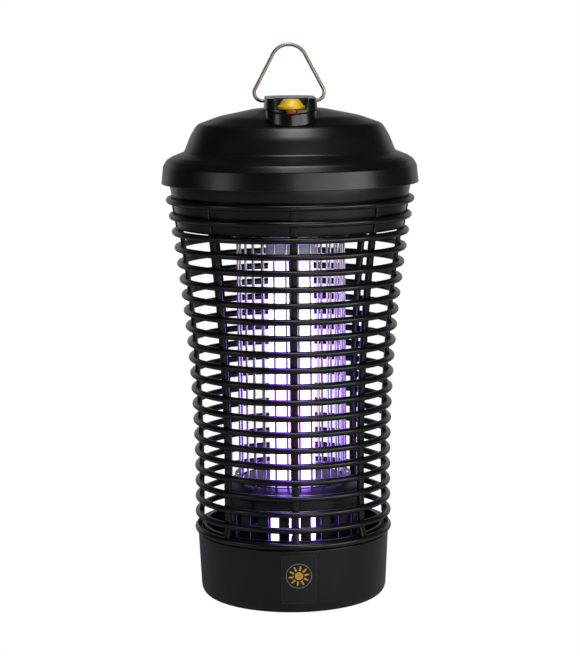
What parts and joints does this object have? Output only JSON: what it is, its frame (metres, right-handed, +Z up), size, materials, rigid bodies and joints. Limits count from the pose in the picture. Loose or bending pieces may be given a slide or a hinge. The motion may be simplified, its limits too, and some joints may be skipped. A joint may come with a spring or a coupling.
{
  "type": "electric bug zapper",
  "caption": "Hanging lantern-shaped electric bug zapper: ringed cage round a wire grid and twin-tube lamp, lidded housing, wire bail, push button, twist-off tray.",
  "frame": {"origin": "on the floor under the middle of the tray", "axes": "+Z up along the lantern's axis, -Y to the front, where the button and the emblem plate are; +X to the right seen from the front"},
  "size_m": [0.2198, 0.2198, 0.477],
  "materials": {
    "lid_plastic": "satin black moulded plastic with a fine grain",
    "cage_plastic": "satin black moulded plastic",
    "tray_plastic": "satin black moulded plastic",
    "pale_plastic": "white heat-resistant plastic",
    "insulator_plastic": "black insulating plastic",
    "terminal_cream": "cream insulating plastic",
    "bail_steel": "nickel-plated steel wire",
    "grid_steel": "plated steel wire",
    "zinc_steel": "zinc-plated steel",
    "laminations": "varnished steel laminations",
    "winding": "varnished copper winding",
    "brass": "machined brass",
    "lamp_glass": "glowing ultraviolet lamp glass",
    "button_yellow": "satin yellow plastic",
    "indicator_red": "translucent red plastic",
    "plate_black": null,
    "board": "glass-fibre circuit board"
  },
  "bodies": {
    "housing": {"ballast_coil": "winding", "ballast_core": "laminations", "board_post_1": "terminal_cream", "board_post_2": "terminal_cream", "cage": "cage_plastic", "chassis_plate": "cage_plastic", "chassis_screw_1": "zinc_steel", "chassis_screw_2": "zinc_steel", "chassis_screw_3": "zinc_steel", "chassis_screw_4": "zinc_steel", "cord_gland": "lid_plastic", "cover_screw_1": "zinc_steel", "cover_screw_2": "zinc_steel", "cover_screw_3": "zinc_steel", "cover_screw_4": "zinc_steel", "doubler_board": "board", "grid_dish": "insulator_plastic", "hanger_hub": "lid_plastic", "hub_screw_1": "zinc_steel", "hub_screw_2": "zinc_steel", "hv_capacitor_1": "brass", "hv_capacitor_2": "brass", "hv_lead_1": "indicator_red", "hv_lead_2": "indicator_red", "hv_stud_1": "brass", "hv_stud_2": "brass", "hv_transformer_coil": "winding", "hv_transformer_core": "laminations", "indicator_diode": "indicator_red", "indicator_lens": "indicator_red", "lamp_starter": "pale_plastic", "lampholder": "pale_plastic", "lampholder_screw_1": "zinc_steel", "lampholder_screw_2": "zinc_steel", "lower_electrode": "grid_steel", "power_switch": "cage_plastic", "terminal_block": "terminal_cream", "top_cover": "lid_plastic", "top_insulator": "insulator_plastic", "upper_electrode": "grid_steel", "uv_lamp_base": "pale_plastic", "uv_lamp_tubes": "lamp_glass"},
    "bail": {"hanging_bail": "bail_steel"},
    "button": {"push_button": "button_yellow", "button_spring": "zinc_steel"},
    "tray": {"collection_tray": "tray_plastic", "emblem_plate": "plate_black"}
  },
  "joints": [
    {"name": "bail_swing", "type": "hinge", "parent": "housing", "child": "bail", "pos_m": [0, 0, 0.4281], "axis": [1, 0, 0], "range_deg": [-70, 70]},
    {"name": "button_press", "type": "slide", "parent": "housing", "child": "button", "axis": [0, 0, -1], "range_m": [0, 0.002], "stiffness_N_per_m": 700, "springref_m": -0.002, "deforming": ["button_spring"]},
    {"name": "tray_twist", "type": "hinge", "parent": "housing", "child": "tray", "pos_m": [0, 0, 0.04], "axis": [0, 0, 1], "range_deg": [0, 18]}
  ]
}
